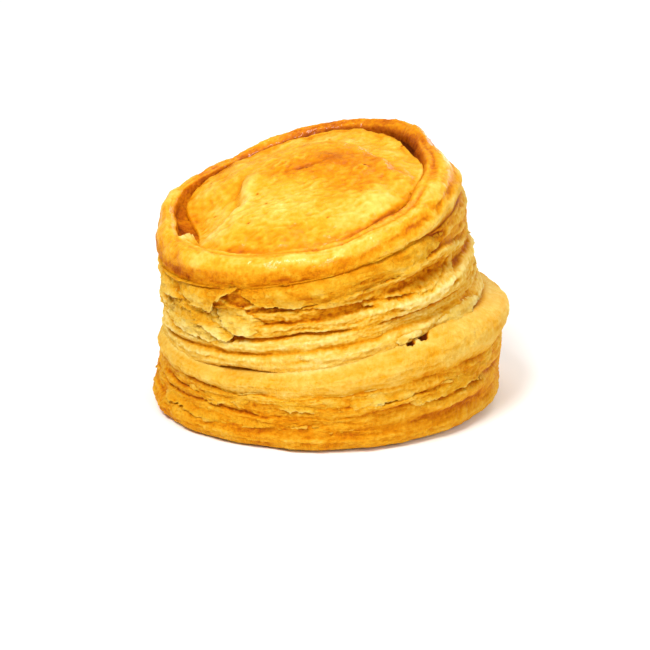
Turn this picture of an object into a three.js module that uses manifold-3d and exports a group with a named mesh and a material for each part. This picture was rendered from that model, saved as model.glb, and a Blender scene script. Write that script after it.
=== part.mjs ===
// Chicken puff: a tall round savoury pastry. Two discs of laminated dough are stacked and baked together:
// a base disc with a swollen rolled edge, and a narrower upper case that leans, rises to the right and back,
// and ends in a rolled rim. A domed lid of the same dough sits in the well inside the rim.
//
// Millimetres, +Z up. The origin is the middle of the flat underside. -Y is the front, +X the right.
// Angles run anticlockwise seen from above: 0 right, 90 back, 180 left, 270 front.

import * as THREE from "three";
import { mergeVertices } from "three/addons/utils/BufferGeometryUtils.js";
import Module from "manifold-3d";

// Driving dimensions
const BASE_RADIUS = 42.4; // half of the 85 mm cutter that the base disc comes from
const CASE_RADIUS = 38.2; // mean radius of the upper case
const LID_HEIGHT = 4.35; // dome above the lid's edge
const FOOT_INSET = 2.6; // how far the flat underside stays inside the bottom crust
const RIM_SHIFT = -5.4; // the case leans to the left as it rises
const WELL_DEPTH = 8.5; // from the rim's crest down to the floor under the lid
const GAP = 0.3; // clearance between touching pieces

// Sizes that change round the puff, given at left, front, right and back
const RIM_CREST = [45.4, 48.3, 61.6, 58.4]; // height of the rim's crest
const RIM_WIDTH = [5.0, 6.8, 5.4, 4.2]; // from the rim's outer face to the wall of the well
const LID_EDGE = [5.2, 6.0, 7.2, 8.6]; // thickness of the lid at its edge

// The rolled rim from its outer foot over the crest to the wall of the well.
// share: how far across the rim's width. drop: how far below the crest. sag: its part in RIM_SAGS.
const RIM_PROFILE = [
  { share: 0.03, drop: 6.6, sag: 0.0 },
  { share: 0.0, drop: 4.0, sag: 0.4 },
  { share: 0.12, drop: 1.6, sag: 0.9 },
  { share: 0.36, drop: 0.2, sag: 1.0 },
  { share: 0.6, drop: 0.2, sag: 1.0 },
  { share: 0.86, drop: 1.4, sag: 0.8 },
  { share: 1.0, drop: 3.6, sag: 0.3 },
];
const WALL = { share: 1.06, drop: WELL_DEPTH - 0.6, sag: 0.0 }; // foot of the well's wall, which leans in
const FLOOR = { share: 1.25, drop: WELL_DEPTH, sag: 0.0 };

// The lid's underside and edge, as shares of its radius and its edge's thickness, and the rings of its dome
const LID_UNDER = [
  { share: 0.5, up: 0.0 },
  { share: 0.94, up: 0.0 },
  { share: 1.0, up: 0.3 },
  { share: 1.0, up: 0.75 },
];
const LID_RINGS = [0.97, 0.9, 0.8, 0.66, 0.5, 0.33, 0.16];
const LID_FLATNESS = 2.8; // how far the dome's flat top reaches towards its edge

// Leaves of dough from the underside up.
// top: height of the seam above the leaf at left, front, right and back.
// bulge: how far the leaf stands out from the nominal radius. shift: how far its centre lies to the right.
// notch: how deep the seam above it is cut in behind the leaf.
const BASE_LEAVES = [
  { top: [5.8, 6.2, 8.0, 6.6], bulge: 0.0, shift: 0.0, notch: 0.3 },
  { top: [8.2, 9.6, 12.2, 10.2], bulge: -0.2, shift: 0.4, notch: 0.7 },
  { top: [10.2, 12.0, 15.4, 13.0], bulge: -0.2, shift: 0.5, notch: 0.9 },
  { top: [12.4, 15.0, 18.8, 16.2], bulge: -0.1, shift: 0.8, notch: 1.6 },
  { top: [17.6, 20.4, 26.6, 22.2], bulge: 0.9, shift: 0.9, notch: 0.0 },
];
const CASE_LEAVES = [
  { top: [20.6, 24.6, 30.4, 26.2], bulge: 1.3, shift: -1.4, notch: 0.7 },
  { top: [24.2, 28.4, 34.6, 30.8], bulge: 0.5, shift: -2.4, notch: 1.5 },
  { top: [27.6, 32.2, 40.2, 36.2], bulge: 0.1, shift: -2.8, notch: 1.0 },
  { top: [31.4, 36.2, 45.8, 41.6], bulge: -0.8, shift: -3.4, notch: 0.8 },
  { top: [37.6, 41.8, 53.0, 48.4], bulge: -0.6, shift: -4.1, notch: 1.5 },
];
const RIM_BULGE = -1.5; // the rim's outer face against the nominal radius of the case
const ROLL_LEAF = BASE_LEAVES.length - 1;
const LEDGE_LEAF = 2; // its torn edge stands out to the front right, under the hollow
const HOLLOW_LEAF = 3; // broken away to the front right
const BAND_LEAF = 4; // the smooth band under the rim

// Where the upper case stands on the base disc: a gently tilted surface that follows the top of the roll
const SEAT_RADIUS = CASE_RADIUS - 0.2;
const SEAT_SHIFT = CASE_LEAVES[0].shift;
const SEAT_SHARES = [0.66, 0.33]; // its rings between the edge and the middle

// Uneven places: where they are centred, how wide they spread in degrees, and how far they push the surface
const FLARE = { at: 207, spread: 30, by: 1.9 }; // bottom crust spreads to the front left
const LIFT = { at: 335, spread: 55, by: 2.4 }; // underside curls up to the right
const HOLLOW = { at: 312, spread: 24, by: -2.6 };
const LEDGE = { at: 316, spread: 22, by: 1.2 };
const BAND = { at: 285, spread: 34, by: 0.9 };
const ROLL_RISE = { at: 312, spread: 28, by: 3.2 }; // the roll swells up to the front right, under the case
const RIM_SQUEEZE = { at: 14, spread: 20, by: -3.0 }; // the rim is drawn in at the right
const RIM_CORNER = { at: 154, spread: 19, by: 1.9 }; // and pushed out to the back left
const RIM_THICK = { at: 344, spread: 20, by: 2.2 }; // it is wide to the right, beside the lid
const LEFT_GAP = { at: 180, spread: 30, by: 4.2 }; // the lid has shrunk away from the rim at the left
const BACK_GAP = { at: 45, spread: 30, by: 2.4 }; // and a little at the back right
const RISE_SHARE = 0.5; // how far the lowest leaf of the case follows the roll's rise
const RIM_SAGS = [
  { at: 302, spread: 40, by: 2.2 }, // the rim lies as low as the lid's edge to the front right
  { at: 122, spread: 28, by: 1.4 }, // and dips at the back left
];

// Swellings and folds of the lid: place from its middle, spread and rise
const LID_BUMPS = [
  { x: -20, y: -13, spread: 6, by: 1.0 },
  { x: 14, y: -17, spread: 6, by: 0.8 },
  { x: -1, y: 12, spread: 9, by: 0.7 },
  { x: -15, y: 4, spread: 4, by: -0.6 },
  { x: 6, y: -6, spread: 7, by: -0.5 },
];

// Torn outer skins: the sheet covers these leaves of the case between two angles, and stands this much proud
const SKINS = [
  { from: 178, to: 229, leaves: [2, 3], thick: 0.9 },
  { from: 192, to: 241, leaves: [4], thick: 0.8 },
  { from: 52, to: 118, leaves: [1, 2], thick: 0.8 },
  { from: 128, to: 160, leaves: [3, 4], thick: 0.8 },
];

// Unevenness of leaves and seams, and the mesh
const LEAF_WAVE = 0.45;
const SEAM_WAVE = 0.3;
const RIPPLES = [
  { turns: 3, share: 0.5, phase: 1.7 },
  { turns: 5, share: 0.3, phase: 2.9 },
  { turns: 9, share: 0.2, phase: 4.3 },
];
const SEEDS = { base: 1, case: 11, baseSeam: 21, caseSeam: 26, rim: 31 };
const SEGMENTS = 72;
const LEAF_STEPS = [0.2, 0.5, 0.8]; // shares of a leaf's height between its two seams
const LEAF_ROUND = 0.6; // how full the leaf's rounded edge is

// Loose flakes fused to the sides: angle, leaf whose top seam it grows from, width along the seam,
// how far it reaches out, and how far its tip lies above the seam
const SHOWN_FLAKES = [
  { tier: "case", angle: 232, leaf: 3, width: 8.0, reach: 1.9, rise: -1.2 },
  { tier: "case", angle: 222, leaf: 2, width: 7.0, reach: 1.7, rise: 1.0 },
  { tier: "case", angle: 246, leaf: 1, width: 3.0, reach: 2.0, rise: -1.4 },
  { tier: "case", angle: 321, leaf: 2, width: 9.0, reach: 1.8, rise: 1.2 },
  { tier: "case", angle: 333, leaf: 0, width: 8.0, reach: 3.0, rise: -1.5 },
  { tier: "base", angle: 244, leaf: 3, width: 6.0, reach: 2.0, rise: -0.8 },
];
const FLAKE_COUNT = 16; // more of them, spread round the rest of the puff
const FLAKE_SEED = 7;
const FLAKE_WIDTH = [3.5, 8.0];
const FLAKE_REACH = [1.5, 2.2];
const FLAKE_RISE = 1.3;
const FLAKE_THICK = 0.8;
const FLAKE_ROOT = 2.2; // length buried in the body
const FLAKE_TAPER = 0.45; // share of its width and thickness lost at the tip
const FLAKE_RAGGED = 0.3; // unevenness of the tip, as a share of its reach
const FLAKE_TEETH = 7;
const FLAKE_ARC = [-20, 200]; // the sides that SHOWN_FLAKES leaves bare
const FLAKE_BASE_EVERY = 4; // one in so many grows on the base disc

const wasm = await Module();
wasm.setup();

const rad = THREE.MathUtils.degToRad;

function mean(values) {
  return values.reduce((sum, v) => sum + v, 0) / values.length;
}

// Smooth size around the puff through its left, front, right and back values.
function compass([left, front, right, back], angle) {
  const saddle = (left + right - front - back) / 4;
  return (
    mean([left, front, right, back]) +
    ((right - left) / 2) * Math.cos(angle) +
    ((back - front) / 2) * Math.sin(angle) +
    saddle * Math.cos(2 * angle)
  );
}

// A gentle periodic unevenness between -1 and 1, different for each seed.
function wave(angle, seed) {
  return RIPPLES.reduce((sum, r) => sum + r.share * Math.sin(r.turns * angle + r.phase * seed), 0);
}

// A smooth swelling centred on one angle, fading out over its spread.
function swell({ at, spread, by }, angle) {
  return by * Math.exp((Math.cos(angle - rad(at)) - 1) / (1 - Math.cos(rad(spread))));
}

// The extra thickness of the torn skins on one leaf of the case.
function skin(leaf, angle) {
  const turn = THREE.MathUtils.euclideanModulo(THREE.MathUtils.radToDeg(angle), 360);
  const covers = (s) => s.leaves.includes(leaf) && turn > s.from && turn < s.to;
  return SKINS.filter(covers).reduce((most, s) => Math.max(most, s.thick), 0);
}

// A point of a ring: radius and height at an angle about a centre that lies shift to the right.
function ringPoint(angle, radius, shift, height) {
  return new THREE.Vector3(shift + radius * Math.cos(angle), radius * Math.sin(angle), height);
}

// One ring of points from a function of the angle.
function ring(pointAt) {
  return Array.from({ length: SEGMENTS }, (_, i) => pointAt((i * 2 * Math.PI) / SEGMENTS));
}

// Closes a stack of rings, ordered from the bottom middle over the outside to the top middle, into one solid.
function loft(rings, bottom, top) {
  const points = [...rings.flat(), bottom, top];
  const faces = [];
  const at = (row, i) => row * SEGMENTS + (i % SEGMENTS);
  const bottomIndex = points.length - 2;
  const topIndex = points.length - 1;
  const last = rings.length - 1;
  for (let i = 0; i < SEGMENTS; i++) {
    faces.push(bottomIndex, at(0, i + 1), at(0, i));
    for (let row = 0; row < last; row++) {
      faces.push(at(row, i), at(row, i + 1), at(row + 1, i + 1));
      faces.push(at(row, i), at(row + 1, i + 1), at(row + 1, i));
    }
    faces.push(topIndex, at(last, i), at(last, i + 1));
  }
  return new THREE.BufferGeometry().setFromPoints(points).setIndex(faces);
}

// Outer radius of a leaf of the base disc at an angle.
function baseRadius(leaf, angle) {
  const flare = leaf === 0 ? swell(FLARE, angle) : 0;
  return BASE_RADIUS + BASE_LEAVES[leaf].bulge + flare + LEAF_WAVE * wave(angle, SEEDS.base + leaf);
}

// Outer radius of a leaf of the upper case at an angle.
function caseRadius(leaf, angle) {
  let radius = CASE_RADIUS + CASE_LEAVES[leaf].bulge + skin(leaf, angle);
  if (leaf === HOLLOW_LEAF) radius += swell(HOLLOW, angle);
  if (leaf === LEDGE_LEAF) radius += swell(LEDGE, angle);
  if (leaf === BAND_LEAF) radius += swell(BAND, angle);
  return radius + LEAF_WAVE * wave(angle, SEEDS.case + leaf);
}

// Outer radius of the rolled rim at an angle.
function rimRadius(angle) {
  const pushed = swell(RIM_SQUEEZE, angle) + swell(RIM_CORNER, angle);
  return CASE_RADIUS + RIM_BULGE + pushed + LEAF_WAVE * wave(angle, SEEDS.rim);
}

// How far the rim's crest lies below its plane at an angle.
function rimSag(angle) {
  return RIM_SAGS.reduce((sum, s) => sum + swell(s, angle), 0);
}

// Radius at a share of the way across the rim, from its outer face to the wall of the well.
function acrossRim(share, angle) {
  return rimRadius(angle) - share * (compass(RIM_WIDTH, angle) + swell(RIM_THICK, angle));
}

// The seam on top of a leaf: cut in behind the nearer of the leaf and what lies above it.
function seamAt({ top, notch }, radius, above, seed, angle) {
  return {
    radius: Math.min(radius, above) - notch,
    height: compass(top, angle) + SEAM_WAVE * wave(angle, seed),
  };
}

function baseSeam(leaf, angle) {
  const above = leaf < ROLL_LEAF ? baseRadius(leaf + 1, angle) : SEAT_RADIUS;
  const seam = seamAt(BASE_LEAVES[leaf], baseRadius(leaf, angle), above, SEEDS.baseSeam + leaf, angle);
  if (leaf === ROLL_LEAF) seam.height += swell(ROLL_RISE, angle);
  return seam;
}

function caseSeam(leaf, angle) {
  const above = leaf < BAND_LEAF ? caseRadius(leaf + 1, angle) : rimRadius(angle);
  const seam = seamAt(CASE_LEAVES[leaf], caseRadius(leaf, angle), above, SEEDS.caseSeam + leaf, angle);
  if (leaf === 0) seam.height += RISE_SHARE * swell(ROLL_RISE, angle);
  return seam;
}

// The rings of one leaf, swollen between the seam below and the seam above.
function leafRings(radius, shift, below, above) {
  return LEAF_STEPS.map((share) =>
    ring((angle) => {
      const low = below(angle);
      const high = above(angle);
      const edge = THREE.MathUtils.lerp(low.radius, high.radius, share);
      const full = Math.sin(Math.PI * share) ** LEAF_ROUND;
      const out = THREE.MathUtils.lerp(edge, Math.max(radius(angle), edge), full);
      return ringPoint(angle, out, shift, THREE.MathUtils.lerp(low.height, high.height, share));
    }),
  );
}

function seamRing(seam, shift) {
  return ring((angle) => ringPoint(angle, seam(angle).radius, shift, seam(angle).height));
}

// A ring of the surface where the case stands on the base, and its middle, raised by lift.
function seatRing(share, lift) {
  const middle = seatMiddle(lift).z;
  return ring((angle) => {
    const edge = baseSeam(ROLL_LEAF, angle).height + lift;
    const height = THREE.MathUtils.lerp(middle, edge, share);
    return ringPoint(angle, SEAT_RADIUS * share, SEAT_SHIFT * share, height);
  });
}

function seatMiddle(lift) {
  return new THREE.Vector3(0, 0, mean(BASE_LEAVES[ROLL_LEAF].top) + lift);
}

// Base disc: flat underside, thin crusty leaves, and the swollen roll on top with its ledge.
function baseDisc() {
  const foot = (angle) => ({
    radius: baseRadius(0, angle) - FOOT_INSET - swell(LIFT, angle),
    height: 0,
  });
  const rings = [seamRing(foot, 0)];
  BASE_LEAVES.forEach((leaf, i) => {
    const below = i === 0 ? foot : (a) => baseSeam(i - 1, a);
    const above = (a) => baseSeam(i, a);
    rings.push(...leafRings((a) => baseRadius(i, a), leaf.shift, below, above));
    if (i < ROLL_LEAF) rings.push(seamRing(above, leaf.shift));
  });
  rings.push(seatRing(1, 0), ...SEAT_SHARES.map((share) => seatRing(share, 0)));
  return loft(rings, new THREE.Vector3(0, 0, 0), seatMiddle(0));
}

// Height of the tilted plane through the rim's crest, over a point of the plan.
function rimPlane(x, y) {
  const [left, front, right, back] = RIM_CREST;
  const crestRadius = CASE_RADIUS + RIM_BULGE - (RIM_WIDTH[0] + RIM_WIDTH[2]) / 4;
  const middle = (left + right) / 2;
  return middle + (((right - left) / 2) * (x - RIM_SHIFT) + ((back - front) / 2) * y) / crestRadius;
}

// A ring that follows the rim's tilt: radius about the rim's centre, and height against the crest's plane.
function tiltedRing(radiusAt, heightAt) {
  return ring((angle) => {
    const point = ringPoint(angle, radiusAt(angle), RIM_SHIFT, 0);
    point.z = rimPlane(point.x, point.y) + heightAt(angle);
    return point;
  });
}

// Upper case: flaky leaves that fan open to the right, a rolled rim, and the well that holds the lid.
function upperCase() {
  const seat = (angle) => ({ radius: SEAT_RADIUS, height: baseSeam(ROLL_LEAF, angle).height + GAP });
  const rings = [...SEAT_SHARES].reverse().map((share) => seatRing(share, GAP));
  rings.push(seatRing(1, GAP));
  CASE_LEAVES.forEach((leaf, i) => {
    const below = i === 0 ? seat : (a) => caseSeam(i - 1, a);
    const above = (a) => caseSeam(i, a);
    rings.push(...leafRings((a) => caseRadius(i, a), leaf.shift, below, above));
    rings.push(seamRing(above, leaf.shift));
  });
  [...RIM_PROFILE, WALL, FLOOR].forEach(({ share, drop, sag }) => {
    rings.push(tiltedRing((a) => acrossRim(share, a), (a) => -drop - sag * rimSag(a)));
  });
  const floor = new THREE.Vector3(RIM_SHIFT, 0, rimPlane(RIM_SHIFT, 0) - WELL_DEPTH);
  return loft(rings, seatMiddle(GAP), floor);
}

// Height of the lid's top over its underside, at a share of its radius towards an angle.
function lidTop(share, radius, angle) {
  const x = share * radius * Math.cos(angle);
  const y = share * radius * Math.sin(angle);
  const away = (b) => ((x - b.x) ** 2 + (y - b.y) ** 2) / (2 * b.spread ** 2);
  const bumps = LID_BUMPS.reduce((sum, b) => sum + b.by * Math.exp(-away(b)), 0);
  const edge = THREE.MathUtils.lerp(mean(LID_EDGE), compass(LID_EDGE, angle), share);
  return edge + (LID_HEIGHT + bumps) * (1 - share ** LID_FLATNESS);
}

// Domed lid, resting on the floor of the well.
function lid() {
  const edge = (angle) => {
    const well = acrossRim(WALL.share, angle) - GAP;
    return well - swell(LEFT_GAP, angle) - swell(BACK_GAP, angle);
  };
  const under = GAP - WELL_DEPTH;
  const lidRing = (share, upAt) => tiltedRing((a) => share * edge(a), (a) => under + upAt(a));
  const rings = [
    ...LID_UNDER.map(({ share, up }) => lidRing(share, (a) => up * compass(LID_EDGE, a))),
    ...LID_RINGS.map((share) => lidRing(share, (a) => lidTop(share, edge(a), a))),
  ];
  const middle = (up) => new THREE.Vector3(RIM_SHIFT, 0, rimPlane(RIM_SHIFT, 0) + under + up);
  return loft(rings, middle(0), middle(lidTop(0, 0, 0)));
}

// Repeatable random numbers between 0 and 1.
function seeded(seed) {
  let state = seed >>> 0;
  return () => {
    state = (Math.imul(state, 1664525) + 1013904223) >>> 0;
    return state / 2 ** 32;
  };
}

// The flakes of the unseen sides, drawn at random along the seams.
function scatteredFlakes() {
  const draw = seeded(FLAKE_SEED);
  const between = ([low, high]) => low + (high - low) * draw();
  const [start, end] = FLAKE_ARC;
  return Array.from({ length: FLAKE_COUNT }, (_, i) => ({
    tier: i % FLAKE_BASE_EVERY === 0 ? "base" : "case",
    angle: start + ((i + draw()) / FLAKE_COUNT) * (end - start),
    leaf: Math.floor(draw() * BAND_LEAF),
    width: between(FLAKE_WIDTH),
    reach: between(FLAKE_REACH),
    rise: FLAKE_RISE * (2 * draw() - 1),
  }));
}

// One flake: a thin tongue of dough, rooted in the body behind a seam, tapering and curling as it goes.
function flake({ tier, angle, leaf, width, reach, rise }) {
  const turn = rad(angle);
  const onBase = tier === "base";
  const { shift } = (onBase ? BASE_LEAVES : CASE_LEAVES)[leaf];
  const seam = (onBase ? baseSeam : caseSeam)(leaf, turn);
  const length = FLAKE_ROOT + reach;
  const tongue = new THREE.BoxGeometry(length, width, FLAKE_THICK, 2, 2, 1);
  const place = tongue.getAttribute("position");
  for (let i = 0; i < place.count; i++) {
    const along = place.getX(i) / length + 0.5;
    const side = place.getY(i) / width;
    const taper = 1 - FLAKE_TAPER * along;
    const ragged = FLAKE_RAGGED * reach * Math.sin(FLAKE_TEETH * side + angle);
    place.setXYZ(
      i,
      place.getX(i) + ragged * along,
      place.getY(i) * taper,
      place.getZ(i) * taper + rise * along * along,
    );
  }
  tongue.translate(seam.radius + reach - length / 2, 0, 0);
  tongue.rotateZ(turn);
  tongue.translate(shift, 0, seam.height);
  return tongue;
}

function solidOf(geometry) {
  const bare = geometry.clone();
  bare.deleteAttribute("normal");
  bare.deleteAttribute("uv");
  const merged = mergeVertices(bare, 1e-3);
  return new wasm.Manifold(
    new wasm.Mesh({
      numProp: 3,
      vertProperties: merged.getAttribute("position").array,
      triVerts: new Uint32Array(merged.index.array),
    }),
  );
}

function geometryOf(solid) {
  const { vertProperties, triVerts } = solid.getMesh();
  const geometry = new THREE.BufferGeometry();
  geometry.setAttribute("position", new THREE.BufferAttribute(vertProperties, 3));
  geometry.setIndex(new THREE.BufferAttribute(triVerts, 1));
  geometry.computeVertexNormals();
  return geometry;
}

// A body with the flakes of its tier fused on.
function withFlakes(geometry, tier) {
  const flakes = [...SHOWN_FLAKES, ...scatteredFlakes()].filter((f) => f.tier === tier);
  return geometryOf(flakes.reduce((body, f) => body.add(solidOf(flake(f))), solidOf(geometry)));
}

function piece(name, geometry, color, roughness) {
  const material = new THREE.MeshStandardMaterial({ color, roughness, metalness: 0 });
  const mesh = new THREE.Mesh(geometry, material);
  mesh.name = name;
  return mesh;
}

const puff = new THREE.Group();
puff.add(
  piece("base_disc", withFlakes(baseDisc(), "base"), 0xe2a23c, 0.6),
  piece("upper_case", withFlakes(upperCase(), "case"), 0xe8b04e, 0.62),
  piece("lid", lid(), 0xeaa93a, 0.42),
);

export default puff;
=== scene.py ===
import math
from collections import namedtuple

import bpy
import numpy as np
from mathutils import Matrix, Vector


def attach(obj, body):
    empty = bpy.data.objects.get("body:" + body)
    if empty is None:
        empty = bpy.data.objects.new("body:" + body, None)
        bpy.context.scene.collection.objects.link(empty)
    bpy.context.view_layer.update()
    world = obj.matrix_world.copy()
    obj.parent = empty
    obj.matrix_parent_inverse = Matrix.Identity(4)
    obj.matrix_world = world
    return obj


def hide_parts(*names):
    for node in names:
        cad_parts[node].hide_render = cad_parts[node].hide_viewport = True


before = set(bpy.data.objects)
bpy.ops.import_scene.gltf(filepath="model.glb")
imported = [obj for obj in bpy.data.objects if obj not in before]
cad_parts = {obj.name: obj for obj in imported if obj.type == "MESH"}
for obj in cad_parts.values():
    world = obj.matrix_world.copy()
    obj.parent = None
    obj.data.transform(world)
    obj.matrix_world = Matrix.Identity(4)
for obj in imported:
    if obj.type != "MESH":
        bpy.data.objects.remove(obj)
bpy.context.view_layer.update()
scene = bpy.context.scene

MM = 0.001  # the surfaces below are worked out in millimetres and stored in metres

# Sizes in millimetres, as the solids have them. Angles run anticlockwise from the right: 270 is the front.
BASE_RADIUS = 42.4
CASE_RADIUS = 38.2
LID_HEIGHT = 4.35
FOOT_INSET = 2.6
RIM_SHIFT = -5.4
RIM_BULGE = -1.5
WELL_DEPTH = 8.5
GAP = 0.3

# Sizes that change round the puff: left, front, right, back
RIM_CREST = (45.4, 48.3, 61.6, 58.4)
RIM_WIDTH = (5.0, 6.8, 5.4, 4.2)
LID_EDGE = (5.2, 6.0, 7.2, 8.6)

# The rolled rim: share of its width from the outer face inwards, drop below the crest, and share of its sag
RIM_PROFILE = (
    (0.03, 6.6, 0.0),
    (0.0, 4.0, 0.4),
    (0.12, 1.6, 0.9),
    (0.36, 0.2, 1.0),
    (0.6, 0.2, 1.0),
    (0.86, 1.4, 0.8),
    (1.0, 3.6, 0.3),
)
WALL_SHARE = 1.06  # the wall of the well leans in this far
WELL_ROWS = ((1.03, 4.1, 0.0), (1.12, 4.6, 0.0), (1.3, 5.0, 0.0), (1.6, 5.6, 0.0))  # dough beside the lid
LID_FLATNESS = 2.8  # how flat the top of the dome is
FOLD_FLATNESS = 12  # how near its edge the folds end

# Swellings: angle, spread in degrees, and size. Values that belong to them follow them.
FLARE = (207, 30, 1.9)
LIFT = (335, 55, 2.4)
CASE_PUSHES = {2: (316, 22, 1.2), 3: (312, 24, -2.6), 4: (285, 34, 0.9)}  # its ledge, hollow and band
UNDERCUT = (238, 14, 1.0)  # elsewhere the case has grown together with the base
UNDERCUT_DEPTH = 0.7
# painted shade under the undercut, where the case overhangs the base
UNDERCUT_SHADE = 0.35
FOOT_SHADE = {"base": 0.18, "case": 0.15}  # painted shade where the case meets the base
FOOT_SINK = 1.2
FOOT_FILLET = 0.7
FILLET_WIDTH = 0.9
FRAY = (2, 26, 0.4)  # the frayed side
RIM_FRAY = (322, 22, 0.4)
RIM_PUSHES = ((14, 20, -3.0), (154, 19, 1.9))
RIM_THICK = (344, 20, 2.2)
RIM_SAGS = ((302, 40, 2.2), (122, 28, 1.4))
RIM_FOLD = (322, 34, 0.15)
FOLD_DROP = 3.2
FOLD_WIDTH = 0.6
LID_GAPS = ((186, 24, 4.2), (46, 22, 1.8))  # where the lid has shrunk away from the rim
LID_DIPS = ((46, 26, -1.6), (112, 40, -0.7), (186, 24, -2.2))
RIM_FILL = (1.8, 1.5, 2.2, 1.8)  # how much less the rim's inner face drops where the lid has grown onto it
LID_REACH = 0.4
LID_MERGE = (346, 20, 1.0)  # where the lid runs into the rim
MERGE_REACH = 0.8
MERGE_RISE = 0.8
CREASE = 0.3
OPEN_SIDES = ((186, 28, 1.0), (48, 30, 1.0), (112, 40, 0.8))
ROLL_RISE = (312, 28, 3.2)
RISE_SHARE = 0.5

# Where the seams of the case close, because the dough has grown together: angle, spread, and how far
CLOSED_SEAMS = ((305, 45, 0.85), (352, 22, 0.8), (345, 26, 0.7), (345, 26, 0.6), (328, 54, 0.95))

HASH = (374761393, 668265263, 1274126177, 974634777)  # large odd numbers that scatter the noise
RIPPLES = ((3, 0.5, 1.7), (5, 0.3, 2.9), (9, 0.2, 4.3))  # turns round the puff, share and phase
SEEDS = {
    "base": 1, "case": 11, "base_seam": 21, "case_seam": 26, "rim": 31, "base_leaf": 100, "case_leaf": 200,
}
LEAF_WAVE = 0.45
SEAM_WAVE = 0.3
# Finer unevenness: length of its bumps in mm, depth, and what is added to the seed
SEAM_WANDER = ((14, 0.5, 50), (4.5, 0.25, 60), (1.6, 0.1, 70))
LEAF_BUMPS = ((9, 0.5, 5), (3.5, 0.25, 6))
FOLD_WANDER = ((13, 1.2, 81), (3.5, 0.5, 83))
BASE_WANDER = 1.8  # the base's seams wander more than those of the case
SEAM_SHADE = {"base": 0.06, "case": 0.03}  # how much darker the leaves are towards their seams: painted shade in the folds

# Leaves of dough from the underside up. Their heights and places are the solids' own.
# rows: mesh rows. square: how boxy its edge is. skew: under 1 hangs low, over 1 rides high.
# sheet: how far its thin sheets step in and out. rough: depth of the fine grain. bake: browning.
# scale: how far torn scales stand off it.
Leaf = namedtuple("Leaf", "top bulge shift notch rows square skew sheet rough bake scale")
BASE_LEAVES = tuple(Leaf(*row) for row in (
    ((5.8, 6.2, 8.0, 6.6), 0.0, 0.0, 0.3, 24, 3.0, 1.0, 0.14, 0.22, 0.52, 0.3),
    ((8.2, 9.6, 12.2, 10.2), 0.2, 0.4, 0.8, 13, 2.0, 1.0, 0.12, 0.24, 0.48, 0.3),
    ((10.2, 12.0, 15.4, 13.0), 0.1, 0.5, 0.8, 13, 2.0, 1.0, 0.12, 0.24, 0.46, 0.3),
    ((12.4, 15.0, 18.8, 16.2), 0.1, 0.8, 0.5, 14, 2.0, 1.1, 0.14, 0.24, 0.42, 0.35),
    ((17.6, 20.4, 26.6, 22.2), 0.9, 0.9, 0.0, 34, 2.6, 0.9, 0.05, 0.16, 0.33, 0.25),
))
CASE_LEAVES = tuple(Leaf(*row) for row in (
    ((20.6, 24.6, 30.4, 26.2), 1.3, -1.4, 0.7, 16, 2.6, 0.9, 0.1, 0.22, 0.31, 0.4),
    ((24.2, 28.4, 34.6, 30.8), 0.5, -2.4, 1.5, 15, 4.0, 1.1, 0.1, 0.22, 0.31, 0.4),
    ((27.6, 32.2, 40.2, 36.2), 0.1, -2.8, 1.0, 17, 4.0, 1.0, 0.16, 0.26, 0.38, 0.6),
    ((31.4, 36.2, 45.8, 41.6), -0.8, -3.4, 0.8, 17, 4.0, 1.0, 0.28, 0.3, 0.46, 0.7),
    ((37.6, 41.8, 53.0, 48.4), -0.6, -4.1, 1.5, 22, 3.0, 0.8, 0.08, 0.16, 0.46, 0.5),
))
SHEET_THICKNESS = 1.05
SHEET_SPREAD = 41.0  # sets the noise of one sheet apart from that of the next
SCALES = (((16, 16, 6), 0.6), ((9, 9, 3), 0.35), ((4.5, 4.5, 1.6), 0.15))  # size and thickness of torn scales
SCALE_EDGE = 0.07
ROLL_LEAF = 4
BAND_LEAF = 4
SEAT_RADIUS = CASE_RADIUS - 0.2
SEAT_SHARES = (0.33, 0.66)
# the faces where the case stands on the base are dark: painted shade between the two pieces
SEAT_SHADE = 0.8
UNDERSIDE_SHARES = (0.25, 0.5, 0.75, 0.9, 0.97)
UNDERSIDE_BAKE = 0.66

SEGMENTS = 780
RIM_ROWS = 30
LID_SEGMENTS = 560
LID_ROWS = 112

# Torn skins on the sides, held at the top: their lower and upper edges as (angle, height), how far they lie
# off the leaves, how far the lower edge curls out, how much browner they are, and how ragged and lumpy
Skin = namedtuple("Skin", "lower upper lift curl bake tears")
BASE_SKINS = tuple(Skin(*row) for row in (
    (((212, 10.5), (226, 9.5), (240, 10), (252, 11.5), (266, 10.5), (284, 12), (300, 14)),
     ((212, 12), (240, 15), (284, 17), (300, 16)), -0.1, 0.2, -0.03, 1.0),
    (((296, 10.5), (310, 11), (326, 12.5), (348, 15.5)),
     ((296, 12.5), (310, 15), (326, 17), (348, 17.5)), -0.1, 0.2, -0.01, 1.0),
    (((200, 6), (222, 5), (246, 5.5), (266, 7.5)),
     ((200, 8), (222, 8.5), (246, 9), (266, 8.5)), -0.1, 0.15, -0.01, 0.6),
    (((20, 14), (46, 12), (70, 12.5), (100, 10)),
     ((20, 16), (46, 17), (70, 16.5), (100, 14)), -0.1, 0.2, -0.02, 1.0),
    (((110, 9), (136, 7.5), (160, 8), (186, 7)),
     ((110, 12), (136, 12), (160, 11.5), (186, 9)), -0.1, 0.2, -0.02, 1.0),
))
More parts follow.
